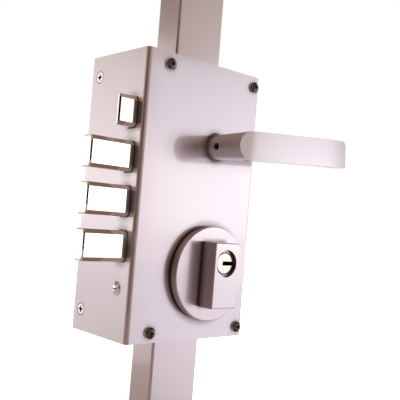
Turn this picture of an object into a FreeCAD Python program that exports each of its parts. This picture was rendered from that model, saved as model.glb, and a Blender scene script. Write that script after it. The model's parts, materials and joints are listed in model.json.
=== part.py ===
import FreeCAD, Part
import math
import os

# Surface-mounted multi-point door lock, seen from its inner side.
# +Z is up, +X is to the right and the front faces -Y.
# The origin is where the key cylinder's axis meets the door face, the plane y = 0.
# All lengths are in millimetres and all angles in degrees.

vec = FreeCAD.Vector
along_x = vec(1, 0, 0)
along_y = vec(0, 1, 0)
along_z = vec(0, 0, 1)

# Case
case_width = 104.0
case_height = 190.0
case_depth = 63.0
sheet = 2.0
bend_radius = 3.0
cylinder_from_left = 64.0
cylinder_from_bottom = 54.0
seat_gap = 0.3
past = 1.0

# Back plate and the pieces that stand on it
back_thickness = 3.0
flange_thickness = 2.5
tab_thickness = 4.0
tab_width = 18.0
tab_reach = 13.0
door_screw_radius = 3.0
door_screw_from_right = 12.0
door_screw_spacing_z = 48.0
upper_door_screw_z = 104.0
mechanism_from_front = 24.0
mechanism_thickness = 2.5
mechanism_margin = 4.0
pillar_radius = 4.0
pillar_from_left = 14.0
pillar_from_bottom = 18.0
pillar_from_top = 20.0

# Screws
m3_radius = 1.5
m4_radius = 2.0
m5_radius = 2.5
hole_clearance = 0.2
pan_head_radius = 3.8
pan_head_wall = 1.2
pan_head_crown = 1.3
socket_width = 2.5
socket_depth = 1.6
cover_screw_length = 10.0
washer_radius = 4.0
washer_thickness = 0.4
countersunk_head = 1.6
slot_width = 0.8
slot_depth = 0.8
post_radius = 3.0
post_from_left = 18.5
post_from_right = 6.1
post_from_top = 8.0
post_from_bottom = 6.7
side_screw_head = 3.8
side_screw_mouth = 4.3
side_screw_from_door = 8.6
side_screw_from_end = 14.5
cross_width = 1.1
cross_reach = 2.3
cross_depth = 1.3
cross_centre = 1.3

# Deadbolts and the carriage that holds them
bolt_height = 20.0
bolt_thickness = 11.0
bolt_bevel_height = 2.6
bolt_bevel_depth = 1.8
bolt_tip_edge = 0.8
bolt_from_front = 6.9
bolt_reach = 32.3
bolt_tail = 12.0
bolt_pitch = 28.8
lowest_bolt_height = 7.5
wall_clearance = 0.35
bolt_screw_length = 10.1
bolt_screw_spare = 1.1
carriage_thickness = 3.5
carriage_lip = 0.5
arm_bottom = 9.5
arm_right = 4.0
guide_stud_radius = 2.5
guide_stud_shoulder = 4.0
guide_stud_head = 0.8
guide_stud_height = 14.5
guide_stud_places = (-13.0, -3.0)
running = 0.05

# Latch
latch_above_handle = 14.7
latch_reach = 14.2
latch_inside = 14.0
latch_slope = 12.0
latch_land = 1.0
latch_travel = 13.5
latch_tail_height = 6.0
latch_tail_thickness = 3.0
latch_tail_rise = 4.6
latch_lug_width = 6.0
latch_lug_height = 8.5
latch_spring_radius = 2.6
latch_spring_wire = 0.7
latch_spring_turns = 10
latch_seat_depth = 8.0
bracket_left = -26.0
bracket_thickness = 3.0
bracket_foot = 12.0
bracket_height = 20.0
spigot_length = 8.0

# Handle
handle_height = 79.2
handle_turn = 40.0
neck_base_radius = 8.5
neck_front_radius = 9.7
handle_gap = 0.4
lever_front = 36.5
lever_root_flat = 6.5
lever_root_bend = 10.0
lever_rise = 4.1
lever_thickness = 9.0
lever_straight = 81.2
lever_end_length = 32.4
lever_end_bend = 13.0
lever_end_half_height = 10.4
lever_top_corner = 5.0
lever_bottom_corner = 2.0
lever_back_round = 2.5
spindle_width = 8.0
spindle_in_neck = 25.0
spindle_in_case = 26.0
grub_from_front = 10.3
grub_length = 3.2
bush_radius = 10.1
bush_flange_radius = 12.0
bush_flange = 1.0
journal_radius = 7.0
follower_radius = 11.0
follower_front = 9.0
follower_arm_radius = 19.7
follower_arm_width = 7.0
follower_neck_width = 4.2
follower_nose = 3.0
follower_back = 34.0
return_spring_radius = 8.8
return_spring_wire = 1.3
return_spring_turns = 3
spring_leg = 9.0
spring_pin_radius = 1.5
spring_pin_x = 7.0
spring_pin_length = 3.0
clip_thickness = 1.0
clip_radius = 9.5
clip_ear_width = 5.0

# Key cylinder, rosette and guard
cylinder_head_radius = 8.5
cylinder_tail_width = 10.0
cylinder_tail_depth = 24.5
cylinder_in_front = 18.0
cylinder_behind_door = 46.0
cylinder_passage = 0.4
cam_from_front = 14.4
cam_thickness = 9.0
cam_side_gap = 0.25
cam_bore = 4.0
bridge_gap = 2.0
plug_radius = 7.3
plug_rebate = 0.5
plug_rebate_depth = 1.4
keyway_left = -1.8
keyway_height = 2.8
pin_count = 5
pin_pitch = 4.2
pin_radius = 1.4
first_pin = 6.0
pin_gap = 0.2
driver_pin_length = 5.0
pin_bore_end = 22.0
pin_spring_wire = 0.4
pin_spring_turns = 6
cylinder_screw_drop = 20.2
cylinder_screw_head = 4.6
cylinder_screw_crown = 1.9
cylinder_screw_slot = 1.0
cylinder_screw_end = 2.5
disc_radius = 32.4
disc_thickness = 6.7
disc_drop = 8.2
disc_edge = 0.6
disc_rebate = 1.2
guard_width = 22.0
guard_height = 44.0
guard_thickness = 13.5
guard_edge = 0.8
guard_hole_radius = 9.15
guard_screw_head = 2.75
guard_screw_head_height = 1.2
guard_screw_length = 14.0
guard_screw_places = ((-7.9, -24.0), (7.9, -24.0), (-8.3, 9.6), (8.3, 9.6))

# Gears: pressure angle, tooth heights as shares of the module, and play
pressure_angle = 20.0
tooth_above = 0.8
tooth_below = 1.1
tooth_play = 0.12
drive_module = 1.5
cam_teeth = 16
sector_teeth = 32
bolt_pinion_teeth = 14
rod_module = 1.0
rod_pinion_teeth = 13
rod_pinion_hub = 8.0
arbor_x = -4.0
arbor_radius = 5.0
arbor_rear_radius = 4.0
arbor_head_radius = 6.0
arbor_head_thickness = 0.6
arbor_collar_radius = 7.0
sector_thickness = 6.0
sector_hub_radius = 9.0
sector_spare_teeth = 2
sector_hole_radius = 3.0
sector_hole_turn = 60.0
bolt_pinion_width = 4.4

# Locking rods and their covers
rod_radius = 5.0
rod_x = 14.4
rod_from_door = 12.0
rack_thickness = 4.5
rack_gap = 1.0
rack_back = 5.4
rack_end_margin = 5.0
rack_lap = 14.0
rivet_radius = 1.5
rivet_spread = 3.5
jog_height = 8.6
jog_clearance = 0.9
upper_rod_start = 84.0
lower_rod_start = -6.0
rod_cover_left = -9.8
rod_cover_width = 44.0
rod_cover_depth = 24.0
rod_cover_length = 150.0
rod_cover_sheet = 1.5
rod_cover_bend = 2.0
rod_cover_gap = 0.2
rod_short_of_cover = 6.0
rod_thread_radius = 2.5
rod_thread_depth = 15.0
guide_height = 12.0
guide_clearance = 0.1
guide_screw_x = 0.0
cover_screw_x = 26.0
far_guide_from_end = 26.0

# Places that follow from the sizes above
case_left = -cylinder_from_left
case_right = case_left + case_width
case_bottom = -cylinder_from_bottom
case_top = case_bottom + case_height
case_front = -case_depth
inner_front = case_front + sheet
back_front = -back_thickness
mechanism_front = case_front + mechanism_from_front
mechanism_back = mechanism_front + mechanism_thickness
bolt_front = case_front + bolt_from_front
bolt_back = bolt_front + bolt_thickness
bolt_heights = [lowest_bolt_height + bolt_pitch * number for number in range(3)]
latch_height = handle_height + latch_above_handle
bolt_tip = case_left - bolt_reach
bolt_end = case_left + bolt_tail
carriage_front = bolt_front - carriage_thickness
cam_middle = case_front + cam_from_front
cam_front = cam_middle - cam_thickness / 2
cam_back = cam_middle + cam_thickness / 2
cylinder_front = case_front - cylinder_in_front
disc_front = case_front - disc_thickness
guard_front = disc_front - guard_thickness
cam_radius = drive_module * cam_teeth / 2
sector_radius = drive_module * sector_teeth / 2
bolt_pinion_radius = drive_module * bolt_pinion_teeth / 2
rod_pinion_radius = rod_module * rod_pinion_teeth / 2
arbor_z = math.sqrt((cam_radius + sector_radius) ** 2 - arbor_x ** 2)
sector_turn = 360.0 * cam_teeth / sector_teeth
bolt_throw = math.radians(sector_turn) * bolt_pinion_radius
rod_travel = math.radians(sector_turn) * rod_pinion_radius
follower_ratio = latch_travel / math.radians(handle_turn)
rod_y = -rod_from_door


def box(x_low, x_high, y_low, y_high, z_low, z_high):
    """A plain block between two corners."""
    return Part.makeBox(x_high - x_low, y_high - y_low, z_high - z_low, vec(x_low, y_low, z_low))


def bar_x(y, z, radius, x_low, x_high):
    """A round bar along X."""
    return Part.makeCylinder(radius, x_high - x_low, vec(x_low, y, z), along_x)


def bar_y(x, z, radius, y_low, y_high):
    """A round bar along Y."""
    return Part.makeCylinder(radius, y_high - y_low, vec(x, y_low, z), along_y)


def bar_z(x, y, radius, z_low, z_high):
    """A round bar along Z."""
    return Part.makeCylinder(radius, z_high - z_low, vec(x, y, z_low), along_z)


def cone_y(x, z, radius_low, radius_high, y_low, y_high):
    """A cone along Y, with its radius at each end."""
    return Part.makeCone(radius_low, radius_high, y_high - y_low, vec(x, y_low, z), along_y)


def cone_x(y, z, radius_low, radius_high, x_low, x_high):
    """A cone along X, with its radius at each end."""
    return Part.makeCone(radius_low, radius_high, x_high - x_low, vec(x_low, y, z), along_x)


def prism_y(points, y_low, y_high):
    """A prism along Y over an outline of (x, z) points."""
    corners = [vec(x, y_low, z) for x, z in points]
    wire = Part.makePolygon(corners + corners[:1])
    return Part.Face(wire).extrude(vec(0, y_high - y_low, 0))


def prism_x(points, x_low, x_high):
    """A prism along X over an outline of (y, z) points."""
    corners = [vec(x_low, y, z) for y, z in points]
    wire = Part.makePolygon(corners + corners[:1])
    return Part.Face(wire).extrude(vec(x_high - x_low, 0, 0))


def prism_z(points, z_low, z_high):
    """A prism along Z over an outline of (x, y) points."""
    corners = [vec(x, y, z_low) for x, y in points]
    wire = Part.makePolygon(corners + corners[:1])
    return Part.Face(wire).extrude(vec(0, 0, z_high - z_low))


def join(*shapes):
    """One solid from shapes that touch."""
    result = shapes[0]
    for shape in shapes[1:]:
        result = result.fuse(shape)
    return result.removeSplitter()


def cut(shape, *tools):
    """A shape with each tool taken away."""
    for tool in tools:
        shape = shape.cut(tool)
    return shape


def edges_where(shape, test):
    """The edges whose two ends both pass a test."""
    return [edge for edge in shape.Edges if all(test(vertex.Point) for vertex in edge.Vertexes)]


def near(value, target):
    """True where two lengths agree."""
    return abs(value - target) < 0.01


def save(name, *solids):
    """Write one node, which is one solid or a group of separate ones."""
    shape = solids[0] if len(solids) == 1 else Part.makeCompound(list(solids))
    shape.exportStep("parts/" + name + ".step")


def involute(angle):
    """The involute function of an angle in radians."""
    return math.tan(angle) - angle


def gear_outline(module, teeth, first_tooth):
    """An involute gear's outline about the origin, with a tooth centred at an angle in degrees."""
    slope = math.radians(pressure_angle)
    pitch = module * teeth / 2
    base = pitch * math.cos(slope)
    root = pitch - tooth_below * module
    tip = pitch + tooth_above * module
    half_tooth = math.pi / (2 * teeth) - tooth_play / (2 * pitch)
    start = max(base, root)
    steps = 4
    flank = [(start + (tip - start) * step / steps) for step in range(steps + 1)]
    widths = [half_tooth + involute(slope) - involute(math.acos(base / radius)) for radius in flank]
    if root < base:
        flank.insert(0, root)
        widths.insert(0, widths[0])
    points = []
    for tooth in range(teeth):
        middle = math.radians(first_tooth) + 2 * math.pi * tooth / teeth
        rising = [(radius, middle - width) for radius, width in zip(flank, widths)]
        falling = [(radius, middle + width) for radius, width in zip(flank, widths)][::-1]
        points += [(radius * math.cos(angle), radius * math.sin(angle)) for radius, angle in rising + falling]
    return points


def gear(module, teeth, first_tooth, x, z, y_low, y_high):
    """A spur gear along Y about (x, z)."""
    outline = gear_outline(module, teeth, first_tooth)
    return prism_y([(x + u, z + v) for u, v in outline], y_low, y_high)


def rack_outline(module, low, high, gap_at):
    """A rack's toothed edge as (place, height) from low to high, with a gap centred at gap_at."""
    pitch = math.pi * module
    slope = math.tan(math.radians(pressure_angle))
    half_tooth = pitch / 4 - tooth_play / 2
    above = tooth_above * module
    below = tooth_below * module
    first = math.ceil((low - gap_at) / pitch - 0.5)
    last = math.floor((high - gap_at) / pitch - 0.5)
    points = [(low, -below)]
    for number in range(first, last + 1):
        middle = gap_at + (number + 0.5) * pitch
        foot = half_tooth + below * slope
        crest = half_tooth - above * slope
        if middle - foot < low or middle + foot > high:
            continue
        points += [(middle - foot, -below), (middle - crest, above)]
        points += [(middle + crest, above), (middle + foot, -below)]
    points.append((high, -below))
    return points


def spring_path(axis_point, turns, radius, pitch, turn_axis):
    """A helix of quarter-turn arcs from a point, along X, Y or Z."""
    sides = {
        "x": (along_y, along_z, along_x),
        "y": (along_z, along_x, along_y),
        "z": (along_x, along_y, along_z),
    }
    across, up, forward = sides[turn_axis]

    def place(quarter):
        angle = math.pi / 2 * quarter
        offset = across * (radius * math.cos(angle)) + up * (radius * math.sin(angle))
        return axis_point + offset + forward * (pitch * quarter / 4)

    arcs = [Part.Arc(place(n), place(n + 0.5), place(n + 1)).toShape() for n in range(4 * turns)]
    return Part.Wire(arcs)


def coil(axis_point, turns, radius, pitch, wire, turn_axis, leg=0.0):
    """A round-wire coil spring, with a straight leg at each end where a length is given."""
    path = spring_path(axis_point, turns, radius, pitch, turn_axis)
    if leg:
        first = path.Edges[0]
        last = path.Edges[-1]
        inlet = first.valueAt(first.FirstParameter)
        outlet = last.valueAt(last.LastParameter)
        lead_in = Part.makeLine(inlet - first.tangentAt(first.FirstParameter) * leg, inlet)
        lead_out = Part.makeLine(outlet, outlet + last.tangentAt(last.LastParameter) * leg)
        path = Part.Wire([lead_in] + path.Edges + [lead_out])
    start = path.Edges[0]
    tangent = start.tangentAt(start.FirstParameter)
    circle = Part.Wire(Part.makeCircle(wire / 2, start.valueAt(start.FirstParameter), tangent))
    return path.makePipeShell([circle], True, False)


def dome(centre, outward, rim, crown):
    """A domed cap of a rim radius and height, from its flat side's centre outward."""
    ball_radius = (rim ** 2 + crown ** 2) / (2 * crown)
    ball = Part.makeSphere(ball_radius, centre + outward * (crown - ball_radius))
    return ball.common(Part.makeCylinder(rim + past, crown + past, centre, outward))


def hexagon(across, u, v):
    """The corners of a hexagon of a width across flats, about (u, v)."""
    corner = across / 2 / math.cos(math.pi / 6)
    turns = [math.pi / 3 * number for number in range(6)]
    return [(u + corner * math.cos(turn), v + corner * math.sin(turn)) for turn in turns]


def pan_screw(x, z, seat, length):
    """A pan-head screw with a hex socket; its head stands in front of the seat plane."""
    rim = seat - pan_head_wall
    wall = bar_y(x, z, pan_head_radius, rim, seat)
    crown = dome(vec(x, rim, z), -along_y, pan_head_radius, pan_head_crown)
    shank = bar_y(x, z, m4_radius, seat, seat + length)
    top = rim - pan_head_crown
    socket = prism_y(hexagon(socket_width, x, z), top - past, top + socket_depth)
    return cut(join(wall, crown, shank), socket)


def cross_screw_x(y, z, length):
    """A countersunk cross-recess screw in the left wall, pointing along +X."""
    edge_depth = side_screw_mouth - side_screw_head
    cone_end = case_left + side_screw_mouth - m4_radius
    edge = bar_x(y, z, side_screw_head, case_left, case_left + edge_depth)
    head = cone_x(y, z, side_screw_head, m4_radius, case_left + edge_depth, cone_end)
    shank = bar_x(y, z, m4_radius, cone_end, case_left + length)
    half = cross_width / 2
    floor = case_left + cross_depth
    recess = join(
        box(case_left - past, floor, y - cross_reach, y + cross_reach, z - half, z + half),
        box(case_left - past, floor, y - half, y + half, z - cross_reach, z + cross_reach),
        bar_x(y, z, cross_centre, case_left - past, floor),
    )
    return cut(join(edge, head, shank), recess)


def bolt_section(height, low_y, high_y, grow):
    """The bevelled section of a bolt in (y, z), grown all round by a clearance."""
    top = height + bolt_height / 2 + grow
    bottom = height - bolt_height / 2 - grow
    front = low_y - grow
    back = high_y + grow
    rise = bolt_bevel_height
    run = bolt_bevel_depth
    return [
        (front, bottom + rise), (front + run, bottom), (back - run, bottom), (back, bottom + rise),
        (back, top - rise), (back - run, top), (front + run, top), (front, top - rise),
    ]


def profile(grow, y_low, y_high):
    """The key cylinder's outer profile along Y: a round head over a narrow round-ended tail."""
    head = bar_y(0, 0, cylinder_head_radius + grow, y_low, y_high)
    half = cylinder_tail_width / 2
    tail_centre = -(cylinder_tail_depth - half)
    tail = box(-half - grow, half + grow, y_low, y_high, tail_centre, 0)
    foot = bar_y(0, tail_centre, half + grow, y_low, y_high)
    return join(head, tail, foot)


def post_places():
    """The four cover posts as (x, z)."""
    left = case_left + post_from_left
    right = case_right - post_from_right
    low = case_bottom + post_from_bottom
    high = case_top - post_from_top
    return [(left, high), (right, high), (left, low), (right, low)]


def pillar_places():
    """The four pillars of the mechanism plate as (x, z); two stand between the rod and the wall."""
    between_rod_and_wall = (rod_x + rod_radius + case_right - sheet) / 2
    columns = (case_left + pillar_from_left, between_rod_and_wall)
    rows = (case_bottom + pillar_from_bottom, case_top - pillar_from_top)
    return [(x, z) for x in columns for z in rows]


def door_screw_places():
    """The six tapped holes for the door screws as (x, z)."""
    half = door_screw_spacing_z / 2
    spread = case_right - door_screw_from_right
    return [(side * spread, z) for side in (-1, 1) for z in (-half, half, upper_door_screw_z)]


def side_screw_places():
    """The two side screws as (y, z)."""
    heights = (case_top - side_screw_from_end, case_bottom + side_screw_from_end)
    return [(-side_screw_from_door, z) for z in heights]


def make_case_cover():
    """Folded sheet cover: front, left and right walls with bends between them."""
    outer = box(case_left, case_right, case_front, 0, case_bottom, case_top)
    bends = edges_where(outer, lambda p: near(p.y, case_front))
    outer = outer.makeFillet(bend_radius, [edge for edge in bends if near(edge.Length, case_height)])
    inner = box(case_left + sheet, case_right - sheet, inner_front, past, case_bottom - past, case_top + past)
    inner_bends = edges_where(inner, lambda p: near(p.y, inner_front))
    inner_height = case_height + 2 * past
    inner_bends = [edge for edge in inner_bends if near(edge.Length, inner_height)]
    inner = inner.makeFillet(bend_radius - sheet, inner_bends)
    cover = outer.cut(inner)
    for height in bolt_heights + [latch_height]:
        section = bolt_section(height, bolt_front, bolt_back, wall_clearance)
        cover = cover.cut(prism_x(section, case_left - past, case_left + sheet + past))
    for x, z in post_places():
        cover = cover.cut(bar_y(x, z, m4_radius + hole_clearance, case_front - past, inner_front + past))
    for x, z in guard_screw_places:
        cover = cover.cut(bar_y(x, z, m3_radius + hole_clearance, case_front - past, inner_front + past))
    outside = case_left - past
    inside = case_left + sheet + past
    for y, z in side_screw_places():
        cone_end = case_left + side_screw_mouth - m4_radius
        cover = cover.cut(cone_x(y, z, side_screw_mouth, m4_radius, case_left, cone_end))
        cover = cover.cut(bar_x(y, z, m4_radius + hole_clearance, outside, inside))
    cover = cover.cut(bar_x(cam_middle, -cylinder_screw_drop, m5_radius + hole_clearance, outside, inside))
    cover = cover.cut(bar_y(0, handle_height, bush_radius, case_front - past, inner_front + past))
    return cover.cut(profile(cylinder_passage, case_front - past, inner_front + past))


def make_back_plate():
    """Base plate with a folded flange at the top and bottom and two tabs for the side screws."""
    left = case_left + sheet + seat_gap
    right = case_right - sheet - seat_gap
    plate = box(left, right, back_front, 0, case_bottom, case_top)
    flange_front = inner_front + seat_gap
    top = box(left, right, flange_front, 0, case_top - flange_thickness, case_top)
    bottom = box(left, right, flange_front, 0, case_bottom, case_bottom + flange_thickness)
    tab_front = back_front - tab_reach
    tabs = [
        box(left, left + tab_thickness, tab_front, back_front, z - tab_width / 2, z + tab_width / 2)
        for y, z in side_screw_places()
    ]
    plate = join(plate, top, bottom, *tabs)
    for y, z in side_screw_places():
        plate = plate.cut(bar_x(y, z, m4_radius, left - past, left + tab_thickness + past))
    for x, z in door_screw_places():
        plate = plate.cut(bar_y(x, z, door_screw_radius, back_front - past, past))
    plate = plate.cut(bar_y(arbor_x, arbor_z, arbor_rear_radius + running, back_front - past, past))
    reach = flange_thickness + past
    for z in (case_top, case_bottom):
        plate = plate.cut(bar_z(rod_x, rod_y, rod_radius + seat_gap, z - reach, z + reach))
    return plate.cut(profile(cylinder_passage, back_front - past, past))


def make_mechanism_plate():
    """Middle plate that carries the arbor, the follower and the latch bracket."""
    left = case_left + sheet + mechanism_margin
    right = case_right - sheet - mechanism_margin
    low = case_bottom + post_from_bottom + post_radius + mechanism_margin / 2
    high = case_top - post_from_top - post_radius - mechanism_margin / 2
    plate = box(left, right, mechanism_front, mechanism_back, low, high)
    front = mechanism_front - past
    back = mechanism_back + past
    plate = plate.cut(bar_y(arbor_x, arbor_z, arbor_radius + running, front, back))
    plate = plate.cut(bar_y(0, handle_height, journal_radius + running, front, back))
    for x, z in pillar_places():
        plate = plate.cut(bar_y(x, z, m4_radius + hole_clearance, front, back))
    plate = plate.cut(profile(cylinder_passage, front, back))
    pin_end = mechanism_back + spring_pin_length
    anchor = bar_y(-spring_pin_x, spring_pin_z(), spring_pin_radius, mechanism_front, pin_end)
    return join(plate, anchor)


def make_deadbolt(height):
    """One rectangular bolt, bevelled along its long edges, with its tip's edges just broken."""
    body = prism_x(bolt_section(height, bolt_front, bolt_back, 0), bolt_tip, bolt_end)
    tip_edges = edges_where(body, lambda p: near(p.x, bolt_tip))
    body = body.makeChamfer(bolt_tip_edge, tip_edges)
    hole_end = bolt_front + bolt_screw_length - carriage_thickness + bolt_screw_spare
    for x, z in bolt_screw_places(height):
        body = body.cut(bar_y(x, z, m4_radius, bolt_front - past, hole_end))
    return body


def bolt_screw_places(height):
    """The two screws of one bolt as (x, z)."""
    middle = (case_left + sheet + carriage_lip + bolt_end) / 2
    spread = (bolt_height - 2 * bolt_bevel_height) / 4
    return [(middle, height - spread), (middle, height + spread)]


def countersunk_screw_y(x, z, seat, length):
    """A small countersunk screw along +Y with a slot."""
    head_radius = m4_radius + countersunk_head
    head = cone_y(x, z, head_radius, m4_radius, seat, seat + countersunk_head)
    shank = bar_y(x, z, m4_radius, seat + countersunk_head, seat + length)
    half = slot_width / 2
    reach = head_radius + past
    slot = box(x - reach, x + reach, seat - past, seat + slot_depth, z - half, z + half)
    return cut(join(head, shank), slot)


def make_bolt_carriage():
    """Slide plate that carries the three bolts, with its rack under the bolt pinion."""
    rack_line = arbor_z - bolt_pinion_radius
    spine_left = case_left + sheet + carriage_lip
    low = bolt_heights[0] - bolt_height / 2 - carriage_lip
    high = bolt_heights[-1] + bolt_height / 2 + carriage_lip
    spine = box(spine_left, bolt_end, carriage_front, bolt_front, low, high)
    edge = rack_outline(drive_module, bolt_end, arm_right, arbor_x)
    arm_points = [(bolt_end, arm_bottom)] + [(x, rack_line + h) for x, h in edge] + [(arm_right, arm_bottom)]
    arm = prism_y(arm_points, carriage_front, bolt_front)
    plate = join(spine, arm)
    slot_half = guide_stud_radius + running
    slot_left = min(guide_stud_places) - bolt_throw - seat_gap
    slot_right = max(guide_stud_places) + seat_gap
    front = carriage_front - past
    back = bolt_front + past
    slot_low = guide_stud_height - slot_half
    slot_high = guide_stud_height + slot_half
    slot = join(
        box(slot_left, slot_right, front, back, slot_low, slot_high),
        bar_y(slot_left, guide_stud_height, slot_half, front, back),
        bar_y(slot_right, guide_stud_height, slot_half, front, back),
    )
    plate = plate.cut(slot)
    head_radius = m4_radius + countersunk_head
    head_end = carriage_front + countersunk_head
    for height in bolt_heights:
        for x, z in bolt_screw_places(height):
            plate = plate.cut(bar_y(x, z, m4_radius, front, back))
            plate = plate.cut(cone_y(x, z, head_radius, m4_radius, carriage_front, head_end))
    return plate


def make_guide_stud(x):
    """Stud on the inside of the case front, with a shoulder in front of the carriage and a head behind it."""
    shoulder = bar_y(x, guide_stud_height, guide_stud_shoulder, inner_front, carriage_front - running)
    shank = bar_y(x, guide_stud_height, guide_stud_radius, carriage_front - running, bolt_front + running)
    head_front = bolt_front + running
    head = bar_y(x, guide_stud_height, guide_stud_shoulder, head_front, head_front + guide_stud_head)
    return join(shoulder, shank, head)


def make_latch_bolt():
    """Spring latch: a sloped head, a flat tail and the lug that the follower pushes."""
    tip = case_left - latch_reach
    inner_end = case_left + latch_inside
    top = latch_height + bolt_height / 2
    bottom = latch_height - bolt_height / 2
    head = prism_x(bolt_section(latch_height, bolt_front, bolt_back, 0), tip, inner_end)
    land = latch_land
    plan = [
        (inner_end, bolt_front), (tip + land, bolt_front), (tip, bolt_front + land),
        (tip, bolt_front + 2 * land), (tip + latch_slope, bolt_back), (inner_end, bolt_back),
    ]
    head = head.common(prism_z(plan, bottom, top))
    tail_height = latch_height + latch_tail_rise
    tail_front = bolt_back - latch_tail_thickness
    lug_left = follower_nose_x() + follower_nose + seat_gap
    lug_right = lug_left + latch_lug_width
    tail = box(
        inner_end - past, lug_right, tail_front, bolt_back,
        tail_height - latch_tail_height / 2, tail_height + latch_tail_height / 2,
    )
    tail_low = tail_height - latch_tail_height / 2
    lug_front = case_front + follower_front
    lug = box(lug_left, lug_right, lug_front, bolt_back, tail_low, tail_low + latch_lug_height)
    seat_radius = latch_spring_radius + latch_spring_wire / 2 + hole_clearance
    seat = bar_x(latch_spring_y(), tail_height, seat_radius, inner_end - latch_seat_depth, inner_end + past)
    return join(head, tail, lug).cut(seat)


def latch_spring_y():
    """The latch spring's centre line, between the bolt's front and its tail."""
    return (bolt_front + bolt_back - latch_tail_thickness) / 2


def follower_nose_x():
    """The follower nose's centre at rest, half of the handle's turn short of upright."""
    return -follower_arm_radius * math.sin(math.radians(handle_turn / 2))


def make_latch_bracket():
    """Bracket on the mechanism plate that guides the latch's tail and seats its spring."""
    middle = latch_height + latch_tail_rise
    low = middle - bracket_height / 2
    high = middle + bracket_height / 2
    upright = box(bracket_left, bracket_left + bracket_thickness, bolt_front, mechanism_front, low, high)
    foot_front = mechanism_front - bracket_thickness
    foot = box(bracket_left, bracket_left + bracket_foot, foot_front, mechanism_front, low, high)
    spigot_radius = latch_spring_radius - latch_spring_wire - seat_gap
    spigot = bar_x(latch_spring_y(), middle, spigot_radius, bracket_left - spigot_length, bracket_left)
    window = box(
        bracket_left - past, bracket_left + bracket_thickness + past,
        bolt_back - latch_tail_thickness - seat_gap, bolt_back + seat_gap,
        middle - latch_tail_height / 2 - seat_gap, middle + latch_tail_height / 2 + seat_gap,
    )
    return join(upright, foot, spigot).cut(window)


def make_latch_spring():
    """Compression spring between the latch head and the bracket."""
    start = case_left + latch_inside - latch_seat_depth + latch_spring_wire / 2 + seat_gap / 2
    end = bracket_left - latch_spring_wire / 2 - seat_gap / 2
    pitch = (end - start) / latch_spring_turns
    centre = vec(start, latch_spring_y(), latch_height + latch_tail_rise)
    return coil(centre, latch_spring_turns, latch_spring_radius, pitch, latch_spring_wire, "x")


def round_tip(bar, upper):
    """The lever's bar with the upper or lower corner of its free end rounded."""
    middle_of_end = lever_straight + lever_end_length / 2
    side = 1 if upper else -1
    corner = [
        edge for edge in edges_where(bar, lambda p: p.x > middle_of_end)
        if near(edge.Length, lever_thickness) and (edge.CenterOfMass.z - handle_height) * side > 0
    ]
    return bar.makeFillet(lever_top_corner if upper else lever_bottom_corner, corner)


def make_lever_handle():
    """Lever with a round neck; its bar is flat in front, rises a little and bends back at both ends."""
    front = case_front - lever_front
    base = case_front - handle_gap
    neck = cone_y(0, handle_height, neck_front_radius, neck_base_radius, front, base)
    bend = math.radians(lever_end_bend)
    end_x = lever_straight + lever_end_length * math.cos(bend)
    end_y = front + lever_end_length * math.sin(bend)
    across_x = -lever_thickness * math.sin(bend)
    across_y = lever_thickness * math.cos(bend)
    back_bend_x = lever_straight - lever_thickness * math.tan(bend / 2)
    plan = [
        (0, front), (lever_straight, front), (end_x, end_y), (end_x + across_x, end_y + across_y),
        (back_bend_x, front + lever_thickness), (0, front + lever_thickness),
    ]
    low = handle_height - lever_end_half_height - past
    high = handle_height + lever_end_half_height + past
    bar = prism_z(plan, low, high)
    outline = [
        (0, handle_height - neck_front_radius), (end_x + past, handle_height - lever_end_half_height),
        (end_x + past, handle_height + lever_end_half_height), (0, handle_height + neck_front_radius),
    ]
    bar = bar.common(prism_y(outline, front - past, end_y + lever_thickness + past))
    bar = round_tip(bar, True)
    bar = round_tip(bar, False)
    back = front + lever_thickness
    back_edges = [
        edge for edge in bar.Edges
        if edge.Length > lever_straight / 2 and all(near(vertex.Point.y, back) for vertex in edge.Vertexes)
    ]
    bar = bar.makeFillet(lever_back_round, back_edges)
    lever = join(neck, bar)
    root_end = neck_front_radius + past
    root_depth = (lever_root_flat + root_end) * math.tan(math.radians(lever_root_bend))
    root = [
        (lever_root_flat, front), (-root_end, front + root_depth),
        (-root_end, front - past), (lever_root_flat, front - past),
    ]
    lever = lever.cut(prism_z(root, low, high))
    half = spindle_width / 2 + running
    low = handle_height - half
    high = handle_height + half
    lever = lever.cut(box(-half, half, base - spindle_in_neck, base + past, low, high))
    grub_y = case_front - grub_from_front
    lever = lever.cut(bar_x(grub_y, handle_height, m5_radius, -neck_front_radius - past, 0))
    lever.rotate(vec(0, 0, handle_height), along_y, -lever_rise)
    return lever


def make_grub_screw():
    """Socket grub screw that clamps the spindle in the neck."""
    inner = -spindle_width / 2
    outer = inner - grub_length
    middle = case_front - grub_from_front
    screw = bar_x(middle, handle_height, m5_radius, outer, inner - running)
    sides = hexagon(socket_width, middle, handle_height)
    screw = screw.cut(prism_x(sides, outer - past, outer + grub_length / 2))
    screw.rotate(vec(0, 0, handle_height), along_y, -lever_rise)
    return screw


def make_handle_bush():
    """Flanged bush in the cover that carries the follower's front journal."""
    sleeve = bar_y(0, handle_height, bush_radius, case_front, inner_front)
    flange = bar_y(0, handle_height, bush_flange_radius, inner_front, inner_front + bush_flange)
    bore_end = inner_front + bush_flange + past
    bore = bar_y(0, handle_height, journal_radius + running, case_front - past, bore_end)
    return join(sleeve, flange).cut(bore)


def make_spindle():
    """Square bar from the neck through the follower."""
    half = spindle_width / 2
    front = case_front - handle_gap - spindle_in_neck + seat_gap
    back = case_front + spindle_in_case
    bar = box(-half, half, front, back, handle_height - half, handle_height + half)
    bar.rotate(vec(0, 0, handle_height), along_y, -lever_rise)
    return bar


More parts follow.
